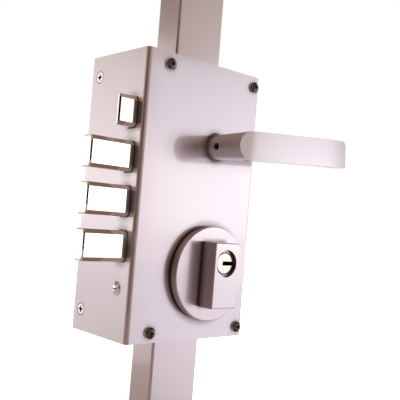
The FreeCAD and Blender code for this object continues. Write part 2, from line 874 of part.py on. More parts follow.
def make_follower():
    """Hub on the spindle with two journals and the arm that draws the latch back."""
    hub_front = case_front + follower_front
    arm_back = bolt_back - latch_tail_thickness - seat_gap
    front_journal = bar_y(0, handle_height, journal_radius, case_front + seat_gap, hub_front)
    hub = bar_y(0, handle_height, follower_radius, hub_front, mechanism_front - seat_gap)
    journal_end = case_front + follower_back
    back_journal = bar_y(0, handle_height, journal_radius, mechanism_front - seat_gap, journal_end)
    half = follower_arm_width / 2
    arm = box(-half, half, hub_front, arm_back, handle_height, handle_height + follower_arm_radius - past)
    nose = bar_y(0, handle_height + follower_arm_radius, follower_nose, hub_front, arm_back)
    neck_half = follower_neck_width / 2
    neck = box(-neck_half, neck_half, hub_front, arm_back, handle_height, handle_height + follower_arm_radius)
    root_radius = follower_arm_radius - follower_nose - past
    arm = join(arm.common(bar_y(0, handle_height, root_radius, hub_front, arm_back)), neck, nose)
    arm.rotate(vec(0, 0, handle_height), along_y, -handle_turn / 2)
    body = join(front_journal, hub, back_journal, arm)
    half = spindle_width / 2 + running
    hole_back = case_front + follower_back + past
    hole = box(-half, half, case_front - past, hole_back, handle_height - half, handle_height + half)
    hole.rotate(vec(0, 0, handle_height), along_y, -lever_rise)
    return body.cut(hole)


def spring_pin_z():
    """The height of the two pins that hold the return spring's legs."""
    return handle_height + return_spring_radius + return_spring_wire / 2 + spring_pin_radius + running


def make_follower_clip():
    """Retaining ring on the follower's rear journal, with an ear and a pin for the spring's leg."""
    back = case_front + follower_back
    front = back - clip_thickness
    ring = bar_y(0, handle_height, clip_radius, front, back)
    rise = spring_pin_z() - handle_height
    reach = math.hypot(spring_pin_x, rise)
    half = clip_ear_width / 2
    ear = box(-half, half, front, back, handle_height + journal_radius + past, handle_height + reach)
    ear = join(ear, bar_y(0, handle_height + reach, half, front, back))
    ear.rotate(vec(0, 0, handle_height), along_y, math.degrees(math.atan2(spring_pin_x, rise)))
    pin = bar_y(spring_pin_x, spring_pin_z(), spring_pin_radius, front - spring_pin_length / 2, front)
    hole = bar_y(0, handle_height, journal_radius, front - past, back + past)
    return join(ring, ear, pin).cut(hole)


def make_return_spring():
    """Torsion spring round the follower's rear journal, with a straight leg at each end."""
    start = mechanism_back + return_spring_wire / 2 + seat_gap
    end = case_front + follower_back - clip_thickness - return_spring_wire / 2 - seat_gap
    pitch = (end - start) / return_spring_turns
    centre = vec(0, start, handle_height)
    return coil(centre, return_spring_turns, return_spring_radius, pitch, return_spring_wire, "y", spring_leg)


def make_rosette_disc():
    """Round plate round the key cylinder, set back a little where it meets the case."""
    disc = bar_y(0, -disc_drop, disc_radius, disc_front, case_front - disc_rebate)
    rim = [edge for edge in disc.Edges if near(edge.CenterOfMass.y, disc_front) and edge.Closed]
    disc = disc.makeFillet(disc_edge, rim)
    foot = bar_y(0, -disc_drop, disc_radius - disc_rebate, case_front - disc_rebate, case_front)
    disc = join(disc, foot)
    for x, z in guard_screw_places:
        disc = disc.cut(bar_y(x, z, m3_radius + hole_clearance, disc_front - past, case_front + past))
    return disc.cut(profile(cylinder_passage, disc_front - past, case_front + past))


def make_cylinder_guard():
    """Square block over the key cylinder, with a round hole for the key."""
    half = guard_width / 2
    low = -disc_drop - guard_height / 2
    block = box(-half, half, guard_front, disc_front, low, low + guard_height)
    front_edges = edges_where(block, lambda p: near(p.y, guard_front))
    block = block.makeFillet(guard_edge, front_edges)
    for x, z in guard_screw_places:
        block = block.cut(bar_y(x, z, m3_radius, inner_front - guard_screw_length, disc_front + past))
    block = block.cut(bar_y(0, 0, guard_hole_radius, guard_front - past, disc_front + past))
    return block.cut(profile(cylinder_passage, cylinder_front - seat_gap, disc_front + past))


def make_guard_screw(x, z):
    """Thin-headed screw from inside the cover into the guard."""
    head = bar_y(x, z, guard_screw_head, inner_front, inner_front + guard_screw_head_height)
    shank = bar_y(x, z, m3_radius, inner_front - guard_screw_length, inner_front)
    slot_front = inner_front + guard_screw_head_height / 2
    slot_back = inner_front + guard_screw_head_height + past
    half = slot_width / 2
    slot = box(x - guard_screw_head, x + guard_screw_head, slot_front, slot_back, z - half, z + half)
    return join(head, shank).cut(slot)


def pin_places():
    """The pin stacks of both halves along Y, counted from each face."""
    inner = [cylinder_front + first_pin + pin_pitch * number for number in range(pin_count)]
    outer = [cylinder_behind_door - first_pin - pin_pitch * number for number in range(pin_count)]
    return inner, outer


def make_cylinder_body():
    """Profile cylinder body: two bored halves joined by a bridge under the cam."""
    body = profile(0, cylinder_front, cylinder_behind_door)
    gap_front = cam_front - cam_side_gap
    gap_back = cam_back + cam_side_gap
    bridge_top = -(cam_radius + drive_module * tooth_above + bridge_gap)
    reach = cylinder_head_radius + past
    body = body.cut(box(-reach, reach, gap_front, gap_back, bridge_top, reach))
    body = body.cut(bar_y(0, 0, plug_radius + running, cylinder_front - past, cylinder_behind_door + past))
    rebate = plug_radius + plug_rebate
    body = body.cut(bar_y(0, 0, rebate, cylinder_front - past, cylinder_front + plug_rebate_depth))
    body = body.cut(bar_y(0, 0, rebate, cylinder_behind_door - plug_rebate_depth, cylinder_behind_door + past))
    inner, outer = pin_places()
    for y in inner + outer:
        body = body.cut(bar_z(0, y, pin_radius + running, -pin_bore_end, 0))
    return body.cut(bar_x(cam_middle, -cylinder_screw_drop, m5_radius, -reach, cylinder_tail_width))


def make_plug(face, end, places, nose_low, nose_high, nose_radius):
    """One half's plug with its flat keyway, pin bores and the nose that enters the cam."""
    low = min(face, end)
    high = max(face, end)
    plug = bar_y(0, 0, plug_radius, low, high)
    toward = 1 if end > face else -1
    ring_low = min(face - toward * past, face + toward * plug_rebate_depth)
    ring_high = max(face - toward * past, face + toward * plug_rebate_depth)
    ring = bar_y(0, 0, plug_radius + past, ring_low, ring_high)
    plug = plug.cut(ring.cut(bar_y(0, 0, plug_radius - plug_rebate, ring_low, ring_high)))
    keyway_end = end - toward * past
    slot_low = min(face - toward * past, keyway_end)
    slot_high = max(face - toward * past, keyway_end)
    # The keyway is open along the plug's right side.
    half = keyway_height / 2
    plug = plug.cut(box(keyway_left, plug_radius + past, slot_low, slot_high, -half, half))
    for y in places:
        plug = plug.cut(bar_z(0, y, pin_radius + running, -plug_radius - past, 0))
    return join(plug, bar_y(0, 0, nose_radius, nose_low, nose_high))


def make_key_pins(places):
    """The plug's own pins, under the keyway."""
    return [bar_z(0, y, pin_radius, -plug_radius + pin_gap, -keyway_height / 2 - pin_gap) for y in places]


def make_driver_pins(places):
    """The body's pins, just outside the plug."""
    top = -plug_radius - pin_gap
    return [bar_z(0, y, pin_radius, top - driver_pin_length, top) for y in places]


def make_pin_springs(places):
    """The small springs under the driver pins."""
    top = -plug_radius - pin_gap - driver_pin_length - pin_spring_wire / 2 - running
    bottom = -pin_bore_end + pin_spring_wire / 2 + running
    pitch = (top - bottom) / pin_spring_turns
    radius = pin_radius - pin_spring_wire / 2
    return [coil(vec(0, y, bottom), pin_spring_turns, radius, pitch, pin_spring_wire, "z") for y in places]


def make_cylinder_screw():
    """Long slotted screw with a domed head, from the left wall into the cylinder's bridge."""
    z = -cylinder_screw_drop
    head = dome(vec(case_left, cam_middle, z), -along_x, cylinder_screw_head, cylinder_screw_crown)
    shank = bar_x(cam_middle, z, m5_radius, case_left, cylinder_screw_end)
    reach = cylinder_screw_head + past
    half = cylinder_screw_slot / 2
    top = case_left - cylinder_screw_crown
    slot_end = top + cylinder_screw_slot
    slot = box(top - past, slot_end, cam_middle - reach, cam_middle + reach, z - half, z + half)
    return join(head, shank).cut(slot)


def mesh_angle():
    """The direction from the cam's axis to the arbor, in degrees."""
    return math.degrees(math.atan2(arbor_z, arbor_x))


def make_cam_gear():
    """Toothed cam that both plugs can turn."""
    body = gear(drive_module, cam_teeth, mesh_angle(), 0, 0, cam_front, cam_back)
    return body.cut(bar_y(0, 0, cam_bore, cam_front - past, cam_back + past))


def make_drive_sector():
    """Part-toothed wheel on the arbor, turned by the cam."""
    back = cam_middle + sector_thickness / 2
    front = cam_middle - sector_thickness / 2
    meeting = mesh_angle() + 180
    tooth_step = 360.0 / sector_teeth
    wheel = gear(drive_module, sector_teeth, meeting + tooth_step / 2, arbor_x, arbor_z, front, back)
    # The missing part starts past the last tooth used at one end of the turn and ends before the other.
    start = math.radians(meeting + (sector_spare_teeth + 0.5) * tooth_step)
    stop = math.radians(meeting + 360 - sector_turn - (sector_spare_teeth + 0.5) * tooth_step)
    reach = 2 * sector_radius
    middle = (start + stop) / 2
    directions = [start, (start + middle) / 2, middle, (middle + stop) / 2, stop]
    pie = [(arbor_x, arbor_z)]
    pie += [(arbor_x + reach * math.cos(angle), arbor_z + reach * math.sin(angle)) for angle in directions]
    wheel = wheel.cut(prism_y(pie, front - past, back + past))
    hub = bar_y(arbor_x, arbor_z, sector_hub_radius, bolt_pinion_back(), back)
    wheel = join(wheel, hub)
    hole_ring = (sector_hub_radius + sector_radius) / 2
    for turn in (-sector_hole_turn, 0, sector_hole_turn):
        angle = math.radians(math.degrees(middle) + 180 + turn)
        hole_x = arbor_x + hole_ring * math.cos(angle)
        hole_z = arbor_z + hole_ring * math.sin(angle)
        wheel = wheel.cut(bar_y(hole_x, hole_z, sector_hole_radius, front - past, back + past))
    return wheel.cut(bar_y(arbor_x, arbor_z, arbor_radius, bolt_pinion_back() - past, back + past))


def bolt_pinion_back():
    """The rear face of the bolt pinion, just behind the carriage."""
    return carriage_front - seat_gap + bolt_pinion_width


def make_bolt_pinion():
    """Pinion on the arbor over the carriage's rack."""
    back = bolt_pinion_back()
    front = back - bolt_pinion_width
    pinion = gear(drive_module, bolt_pinion_teeth, 270, arbor_x, arbor_z, front, back)
    return pinion.cut(bar_y(arbor_x, arbor_z, arbor_radius, front - past, back + past))


def rod_pinion_ends():
    """The rod pinion's front and rear face, which cover both racks."""
    return rod_y - rack_gap - rack_thickness, back_front - seat_gap


def make_rod_pinion():
    """Small pinion at the rear of the arbor, between the two rod racks, with a hub in front of them."""
    front, back = rod_pinion_ends()
    hub_front = front - rod_pinion_hub
    teeth = gear(rod_module, rod_pinion_teeth, 0, arbor_x, arbor_z, front, back)
    hub = bar_y(arbor_x, arbor_z, arbor_collar_radius, hub_front, front)
    body = join(teeth, hub).cut(bar_y(arbor_x, arbor_z, arbor_rear_radius, front - past, back + past))
    return body.cut(bar_y(arbor_x, arbor_z, arbor_radius, hub_front - past, front))


def make_drive_arbor():
    """Stepped shaft that carries the sector and both pinions."""
    head_back = bolt_pinion_back() - bolt_pinion_width
    head = bar_y(arbor_x, arbor_z, arbor_head_radius, head_back - arbor_head_thickness, head_back)
    step = rod_pinion_ends()[0]
    main = bar_y(arbor_x, arbor_z, arbor_radius, head_back, step)
    sector_back = cam_middle + sector_thickness / 2
    collar = bar_y(arbor_x, arbor_z, arbor_collar_radius, sector_back, mechanism_front - seat_gap)
    rear = bar_y(arbor_x, arbor_z, arbor_rear_radius, step, -seat_gap)
    return join(head, main, collar, rear)


def make_upper_rack():
    """Flat rack left of the rod pinion, with a jog to the upper rod."""
    front = rod_y - rack_gap / 2 - rack_thickness
    back = rod_y - rack_gap / 2
    line = arbor_x - rod_pinion_radius
    low = arbor_z - rack_end_margin
    pinion_top = arbor_z + rod_pinion_radius + tooth_above * rod_module
    jog_low = pinion_top + rod_travel + jog_clearance
    jog_high = jog_low + jog_height
    half_pitch = math.pi * rod_module / 2
    edge = rack_outline(rod_module, low, jog_low, arbor_z + half_pitch)
    back_x = line - tooth_below * rod_module - rack_back
    rod_left = rod_x - rod_radius
    rod_right = rod_x + rod_radius
    points = [(back_x, low)] + [(line + height, z) for z, height in edge]
    top = upper_rod_start + rack_lap
    points += [(rod_right, jog_low), (rod_right, top)]
    points += [(rod_left, top), (rod_left, jog_high), (back_x, jog_high)]
    heights = rivet_heights(upper_rod_start, top)
    holes = [bar_y(rod_x, z, rivet_radius, front - past, back + past) for z in heights]
    return cut(prism_y(points, front, back), *holes)


def make_lower_rack():
    """Flat rack right of the rod pinion, above the lower rod."""
    front = rod_y + rack_gap / 2
    back = rod_y + rack_gap / 2 + rack_thickness
    line = arbor_x + rod_pinion_radius
    high = arbor_z + rack_end_margin
    low = arbor_z - rod_travel - rack_end_margin
    edge = rack_outline(rod_module, low, high, arbor_z)
    rod_left = rod_x - rod_radius
    rod_right = rod_x + rod_radius
    bottom = lower_rod_start - rack_lap
    points = [(rod_right, high), (rod_right, bottom), (rod_left, bottom), (rod_left, low)]
    points += [(line - height, z) for z, height in edge]
    heights = rivet_heights(bottom, lower_rod_start)
    holes = [bar_y(rod_x, z, rivet_radius, front - past, back + past) for z in heights]
    return cut(prism_y(points, front, back), *holes)


def rivet_heights(low, high):
    """The two rivets of one lap joint between a rack and its rod."""
    middle = (low + high) / 2
    return [middle - rivet_spread, middle + rivet_spread]


def make_rod(inner, outer, lap):
    """Round locking rod with a threaded hole in its outer end and a flat for its rack."""
    rod = bar_z(rod_x, rod_y, rod_radius, min(inner, outer), max(inner, outer))
    mouth = outer - rod_thread_depth if outer > inner else outer - past
    rod = rod.cut(bar_z(rod_x, rod_y, rod_thread_radius, mouth, mouth + rod_thread_depth + past))
    rod = rod.cut(lap)
    low, high = (inner, inner + rack_lap) if outer > inner else (inner - rack_lap, inner)
    reach = rod_radius + past
    holes = [bar_y(rod_x, z, rivet_radius, rod_y - reach, rod_y + reach) for z in rivet_heights(low, high)]
    return cut(rod, *holes)


def make_rivets(low, high):
    """The rivets through one rack and its rod."""
    front = rod_y - rod_radius
    back = rod_y + rod_radius
    ends = rivet_heights(low, high)
    hull = bar_z(rod_x, rod_y, rod_radius, low, high)
    return [bar_y(rod_x, z, rivet_radius, front, back).common(hull) for z in ends]


def make_rod_cover(low, high, screw_z):
    """Folded channel over a locking rod, open towards the door."""
    right = rod_cover_left + rod_cover_width
    outer = box(rod_cover_left, right, -rod_cover_depth, 0, low, high)
    length = high - low
    front_edges = edges_where(outer, lambda p: near(p.y, -rod_cover_depth))
    bends = [edge for edge in front_edges if near(edge.Length, length)]
    outer = outer.makeFillet(rod_cover_bend, bends)
    wall = rod_cover_sheet
    inner = box(rod_cover_left + wall, right - wall, -rod_cover_depth + wall, past, low - past, high + past)
    bends = [
        edge for edge in edges_where(inner, lambda p: near(p.y, -rod_cover_depth + wall))
        if near(edge.Length, length + 2 * past)
    ]
    inner = inner.makeFillet(rod_cover_bend - wall, bends)
    front = -rod_cover_depth
    hole = bar_y(cover_screw_x, screw_z, m4_radius + hole_clearance, front - past, front + wall + past)
    return outer.cut(inner).cut(hole)


def make_rod_guide(middle, cover_screw):
    """Block inside a rod cover that the rod slides through, screwed to the door."""
    left = rod_cover_left + rod_cover_sheet + seat_gap
    right = rod_cover_left + rod_cover_width - rod_cover_sheet - seat_gap
    front = -rod_cover_depth + rod_cover_sheet + seat_gap
    block = box(left, right, front, 0, middle - guide_height / 2, middle + guide_height / 2)
    hole_radius = rod_radius + guide_clearance
    block = block.cut(bar_z(rod_x, rod_y, hole_radius, middle - guide_height, middle + guide_height))
    block = block.cut(bar_y(guide_screw_x, middle, m4_radius + hole_clearance, front - past, past))
    block = block.cut(cone_y(guide_screw_x, middle, 2 * m4_radius, m4_radius, front, front + m4_radius))
    if cover_screw:
        block = block.cut(bar_y(cover_screw_x, middle, m4_radius, front - past, front + cover_screw_length))
    return block


def build_case():
    """The case, its plates, posts and screws."""
    save("case_cover", make_case_cover())
    save("back_plate", make_back_plate())
    save("mechanism_plate", make_mechanism_plate())
    pillars = []
    plate_screws = []
    for x, z in pillar_places():
        pillar = bar_y(x, z, pillar_radius, mechanism_back, back_front)
        thread = bar_y(x, z, m4_radius, mechanism_back - past, mechanism_back + cover_screw_length)
        pillars.append(pillar.cut(thread))
        plate_screws.append(pan_screw(x, z, mechanism_front, cover_screw_length))
    save("plate_pillars", *pillars)
    save("plate_screws", *plate_screws)
    posts = []
    for x, z in post_places():
        post = bar_y(x, z, post_radius, inner_front, back_front)
        posts.append(post.cut(bar_y(x, z, m4_radius, inner_front - past, case_front + cover_screw_length)))
    save("cover_posts", *posts)
    head_seat = case_front - washer_thickness
    save("cover_screws", *[pan_screw(x, z, head_seat, cover_screw_length) for x, z in post_places()])
    washers = []
    for x, z in post_places():
        washer = bar_y(x, z, washer_radius, head_seat, case_front)
        hole = bar_y(x, z, m4_radius + hole_clearance, head_seat - past, case_front + past)
        washers.append(washer.cut(hole))
    save("cover_washers", *washers)
    side_length = sheet + seat_gap + tab_thickness
    save("side_screws", *[cross_screw_x(y, z, side_length) for y, z in side_screw_places()])


def build_deadbolts():
    """The three bolts, their carriage and its guides."""
    for name, height in zip(("bottom", "middle", "top"), bolt_heights):
        save("deadbolt_" + name, make_deadbolt(height))
    save("bolt_carriage", make_bolt_carriage())
    places = [place for height in bolt_heights for place in bolt_screw_places(height)]
    screws = [countersunk_screw_y(x, z, carriage_front, bolt_screw_length) for x, z in places]
    save("bolt_screws", *screws)
    save("carriage_guides", *[make_guide_stud(x) for x in guide_stud_places])


def build_latch():
    """The spring latch."""
    save("latch_bolt", make_latch_bolt())
    save("latch_bracket", make_latch_bracket())
    save("latch_spring", make_latch_spring())


def build_handle():
    """The lever handle and what it turns."""
    save("lever_handle", make_lever_handle())
    save("handle_grub_screw", make_grub_screw())
    save("handle_bush", make_handle_bush())
    save("spindle", make_spindle())
    save("follower", make_follower())
    save("follower_clip", make_follower_clip())
    save("handle_return_spring", make_return_spring())


def build_cylinder():
    """The key cylinder with its rosette and guard."""
    inner, outer = pin_places()
    save("rosette_disc", make_rosette_disc())
    save("cylinder_guard", make_cylinder_guard())
    save("guard_screws", *[make_guard_screw(x, z) for x, z in guard_screw_places])
    save("cylinder_body", make_cylinder_body())
    inner_plug = make_plug(cylinder_front, cam_front, inner, cam_front, cam_middle - seat_gap, cam_bore)
    save("inner_plug", inner_plug)
    outer_nose = cam_bore - 2 * running
    outer_end = cam_back + cam_side_gap
    outer_nose_front = cam_middle + seat_gap
    outer_plug = make_plug(cylinder_behind_door, outer_end, outer, outer_nose_front, outer_end, outer_nose)
    save("outer_plug", outer_plug)
    save("cam_gear", make_cam_gear())
    save("inner_key_pins", *make_key_pins(inner))
    save("outer_key_pins", *make_key_pins(outer))
    save("driver_pins", *make_driver_pins(inner + outer))
    save("pin_springs", *make_pin_springs(inner + outer))
    save("cylinder_screw", make_cylinder_screw())


def build_drive():
    """The gears between the cam, the carriage and the rods."""
    save("drive_sector", make_drive_sector())
    save("bolt_pinion", make_bolt_pinion())
    save("rod_pinion", make_rod_pinion())
    save("drive_arbor", make_drive_arbor())


def build_rods():
    """The locking rods with their racks, covers and guides."""
    save("upper_rack", make_upper_rack())
    save("lower_rack", make_lower_rack())
    upper_end = case_top + rod_cover_length
    lower_end = case_bottom - rod_cover_length
    side = rod_radius + past
    front_flat = rod_y - rack_gap / 2
    back_flat = rod_y + rack_gap / 2
    left = rod_x - side
    right = rod_x + side
    upper_lap_end = upper_rod_start + rack_lap
    lower_lap_end = lower_rod_start - rack_lap
    upper_lap = box(left, right, rod_y - side, front_flat, upper_rod_start - past, upper_lap_end)
    lower_lap = box(left, right, back_flat, rod_y + side, lower_lap_end, lower_rod_start + past)
    save("upper_rod", make_rod(upper_rod_start, upper_end - rod_short_of_cover, upper_lap))
    save("lower_rod", make_rod(lower_rod_start, lower_end + rod_short_of_cover, lower_lap))
    save("upper_rod_rivets", *make_rivets(upper_rod_start, upper_rod_start + rack_lap))
    save("lower_rod_rivets", *make_rivets(lower_rod_start - rack_lap, lower_rod_start))
    upper_far = upper_end - far_guide_from_end
    lower_far = lower_end + far_guide_from_end
    save("upper_rod_cover", make_rod_cover(case_top + rod_cover_gap, upper_end, upper_far))
    save("lower_rod_cover", make_rod_cover(lower_end, case_bottom - rod_cover_gap, lower_far))
    half = guide_height / 2
    save("upper_rod_guides", make_rod_guide(case_top + half, False), make_rod_guide(upper_far, True))
    save("lower_rod_guides", make_rod_guide(case_bottom - half, False), make_rod_guide(lower_far, True))
    seat = -rod_cover_depth
    far_ends = (upper_far, lower_far)
    save("rod_cover_screws", *[pan_screw(cover_screw_x, z, seat, cover_screw_length) for z in far_ends])


os.makedirs("parts", exist_ok=True)
build_case()
build_deadbolts()
build_latch()
build_handle()
build_cylinder()
build_drive()
build_rods()
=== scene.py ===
import json
import math

import bmesh
import bpy
from mathutils import Matrix, Vector


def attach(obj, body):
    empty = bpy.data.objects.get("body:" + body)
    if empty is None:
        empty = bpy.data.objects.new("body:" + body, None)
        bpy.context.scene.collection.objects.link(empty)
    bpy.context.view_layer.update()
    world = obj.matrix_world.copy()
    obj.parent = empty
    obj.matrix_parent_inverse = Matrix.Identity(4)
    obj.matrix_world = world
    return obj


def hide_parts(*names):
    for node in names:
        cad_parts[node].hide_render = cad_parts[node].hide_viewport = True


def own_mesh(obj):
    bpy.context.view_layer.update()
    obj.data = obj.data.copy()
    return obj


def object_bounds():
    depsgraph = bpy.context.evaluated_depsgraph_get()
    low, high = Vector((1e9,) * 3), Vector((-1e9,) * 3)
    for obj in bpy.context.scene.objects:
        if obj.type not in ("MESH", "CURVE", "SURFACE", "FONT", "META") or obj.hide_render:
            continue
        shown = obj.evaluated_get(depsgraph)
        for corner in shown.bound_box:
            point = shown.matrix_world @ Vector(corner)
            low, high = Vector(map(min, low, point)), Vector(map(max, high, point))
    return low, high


# Looks of a surface-mounted door lock. Lengths are in metres and angles in degrees.
# A bearing is the angle round the z axis, from the x axis toward the y axis.
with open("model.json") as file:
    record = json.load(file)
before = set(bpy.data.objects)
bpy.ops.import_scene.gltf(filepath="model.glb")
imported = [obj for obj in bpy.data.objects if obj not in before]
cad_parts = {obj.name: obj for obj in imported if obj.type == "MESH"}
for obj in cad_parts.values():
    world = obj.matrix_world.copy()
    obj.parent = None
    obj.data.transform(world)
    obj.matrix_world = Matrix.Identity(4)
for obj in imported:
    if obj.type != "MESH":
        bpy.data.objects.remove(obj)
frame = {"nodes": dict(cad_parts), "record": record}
cad_low, cad_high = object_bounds()
bodies = frame["record"]["behaviour"]["bodies"]
body_of_node = {node: body for body, nodes in bodies.items() for node in nodes}
slot_of_node = {part["node"]: part["material_slot"] for part in frame["record"]["subparts"]}
mm = 0.001

# Camera, fitted to the edges in the photograph
camera_place = Vector((-0.3076, -0.3909, 0.0285))
camera_yaw = 42.18
camera_pitch = 1.70
camera_roll = 4.49
camera_lens = 58.04
sensor_width = 36.0
nearest_view = 0.01

# Grain of the metals: how many waves fit in a metre, how much finer detail they have, and its strength
slow_noise = (28.0, 4.0, 0.55)
fine_noise = (9000.0, 3.0, 0.6)
speck_noise = (1500.0, 2.0, 0.7)
grain_height = 0.02 * mm

# Worn edges, which on the black screws are painted highlights: the pointiness where the lightening starts
# and is full, and the share of the lighter colour there
wear_and_highlight_from = 0.52
wear_and_highlight_full = 0.62
wear_and_highlight_share = 0.25

# Painted shade in crevices: its colour, and the share of open space at which it is darkest
painted_shade_colour = (0.05, 0.028, 0.020)
painted_shade_open = 0.5
painted_shade_samples = 12

# Copies of the nodes: distances and angles up to which their meshes are joined and their edges rounded
joined_distance = 0.001 * mm
flat_angle = 0.6
sharp_angle = 32.0
edge_segments = 2
usual_edge = 0.25 * mm
edge_of = {
    "case_cover": 0.5 * mm,
    "upper_rod_cover": 0.4 * mm,
    "lower_rod_cover": 0.4 * mm,
    "cylinder_guard": 0.3 * mm,
    "lever_handle": 0.6 * mm,
    "rosette_disc": 0.3 * mm,
    "handle_bush": 0.15 * mm,
}
dressed = [
    "case_cover", "back_plate", "rosette_disc", "cylinder_guard", "lever_handle", "handle_bush",
    "deadbolt_bottom", "deadbolt_middle", "deadbolt_top", "latch_bolt", "cover_screws", "cover_washers",
    "side_screws", "cylinder_screw", "handle_grub_screw", "cylinder_body", "inner_plug", "outer_plug",
    "upper_rod_cover", "lower_rod_cover", "upper_rod_guides", "lower_rod_guides", "rod_cover_screws",
]

# Studio: floor, backdrop and soft light overhead
floor_gap = 2.0 * mm
floor_reach = 6.0
floor_noise = (40.0, 2.0, 0.5)
floor_tones = (0.93, 0.97)
floor_roughness = 0.95
floor_glow = 1.25
backdrop_radius = 20.0
backdrop_rings = 24
light_place = (0.3, 0.3, 1.9)
light_width = 2.4
light_power = 12.0
sector_steps = 24
low_patch = 0.5 * mm
high_patch = 1.0 * mm

# Zones of the surroundings, each centred on a bearing and fading out between two angles from it
right_zone = (-48.0, 40.0, 75.0)
bright_zone = (-35.0, 6.0, 20.0)
rear_zone = (42.0, 45.0, 66.0)
far_zone = (42.0, 99.0, 106.0)
dark_bearing = 212.0
dark_full = 22.0
dark_margin = 10.0
dark_zone = (dark_bearing, dark_full, 45.0)

# Tones of the surroundings
wall_level = 1.22
bright_gain = 1.17
ceiling_start = 34.0
ceiling_brown = (0.20, 0.115, 0.08)
room_brown = (0.56, 0.38, 0.26)
room_dark = (0.012, 0.006, 0.004)
room_floor = (0.42, 0.30, 0.21)
rear_grey = (0.66, 0.65, 0.64)
left_floor_near = (0.44, 0.36, 0.27)
left_floor_far = (1.03, 0.98, 0.90)

# Colours of the two walls by elevation
right_wall = [
    (-20.0, (1.0, 1.0, 1.0)),
    (-3.0, (1.1, 1.1, 1.1)),
    (0.0, (1.8, 1.78, 1.70)),
    (5.0, (1.8, 1.78, 1.70)),
    (9.0, (1.11, 1.10, 1.19)),
    (13.2, (1.11, 1.10, 1.19)),
    (14.0, (0.48, 0.44, 0.30)),
    (30.0, (0.45, 0.41, 0.28)),
]
left_wall = [
    (-20.0, (1.05, 1.02, 0.95)),
    (-3.0, (1.15, 1.11, 0.99)),
    (0.0, (1.45, 1.42, 1.35)),
    (4.0, (1.45, 1.42, 1.35)),
    (7.0, (1.15, 1.11, 0.99)),
    (14.3, (1.15, 1.08, 0.95)),
    (16.2, (0.14, 0.10, 0.06)),
    (30.0, (0.08, 0.05, 0.03)),
]

# Floor at the right, in narrow sectors that get brighter from the first to the last
right_sectors = 10
right_first = -73.5
right_step = 4.0
right_tone = 1.03
right_gain = 0.040
right_warmth = 0.975
right_reach = 3.0

# Sectors of the floor with their own tone in reflections:
# bearing, half angle, nearest and farthest distance, colour, height over the floor
sectors = {
    "carpet_left_near": (120.0, 30.0, 0.0, 0.55, left_floor_near, low_patch),
    "carpet_left_far": (120.0, 30.0, 0.55, 3.0, left_floor_far, low_patch),
    "carpet_bolts": (-56.0, 23.0, 0.08, 0.30, ceiling_brown, high_patch),
    "carpet_rear": (28.0, 61.0, 0.0, 3.0, rear_grey, low_patch),
    "carpet_under": (30.0, 45.0, 0.08, 0.40, ceiling_brown, high_patch),
    "carpet_room_near": (218.0, 68.0, 0.0, 1.15, room_floor, low_patch),
    "carpet_room_far": (218.0, 68.0, 1.15, 6.0, room_brown, low_patch),
    "carpet_camera": (dark_bearing, dark_full + dark_margin, 1.15, 6.0, room_dark, high_patch),
}

# Two inputs and the output of a Mix node, by the kind of value that it mixes
mix_sockets = {"FLOAT": (2, 3, 0), "RGBA": (6, 7, 2)}


def feed(tree, socket, value):
    """Link a socket to another node's output, or set it to a number or colour."""
    if isinstance(value, bpy.types.NodeSocket):
        tree.links.new(value, socket)
    else:
        socket.default_value = value


def opaque(colour):
    """Colour with full cover."""
    return (*colour, 1.0)


def mixed(tree, kind, share, first, second):
    """Second value over the first one by a share."""
    first_input, second_input, output = mix_sockets[kind]
    mix = tree.nodes.new("ShaderNodeMix")
    mix.data_type = kind
    feed(tree, mix.inputs["Factor"], share)
    feed(tree, mix.inputs[first_input], first)
    feed(tree, mix.inputs[second_input], second)
    return mix.outputs[output]


def remapped(tree, value, from_min=0.0, from_max=1.0, to_min=0.0, to_max=1.0, curve="LINEAR"):
    """Value moved from one range to another, and held inside it."""
    node = tree.nodes.new("ShaderNodeMapRange")
    node.interpolation_type = curve
    feed(tree, node.inputs["Value"], value)
    feed(tree, node.inputs["From Min"], from_min)
    feed(tree, node.inputs["From Max"], from_max)
    feed(tree, node.inputs["To Min"], to_min)
    feed(tree, node.inputs["To Max"], to_max)
    return node.outputs["Result"]


def noise(tree, place, settings):
    """Noise in the given coordinates."""
    scale, detail, roughness = settings
    node = tree.nodes.new("ShaderNodeTexNoise")
    feed(tree, node.inputs["Scale"], scale)
    feed(tree, node.inputs["Detail"], detail)
    feed(tree, node.inputs["Roughness"], roughness)
    if place is not None:
        feed(tree, node.inputs["Vector"], place)
    return node.outputs["Fac"]


def new_material(name):
    """A new material with its node tree and shader."""
    material = bpy.data.materials.new(name)
    material.use_nodes = True
    return material, material.node_tree, material.node_tree.nodes["Principled BSDF"]


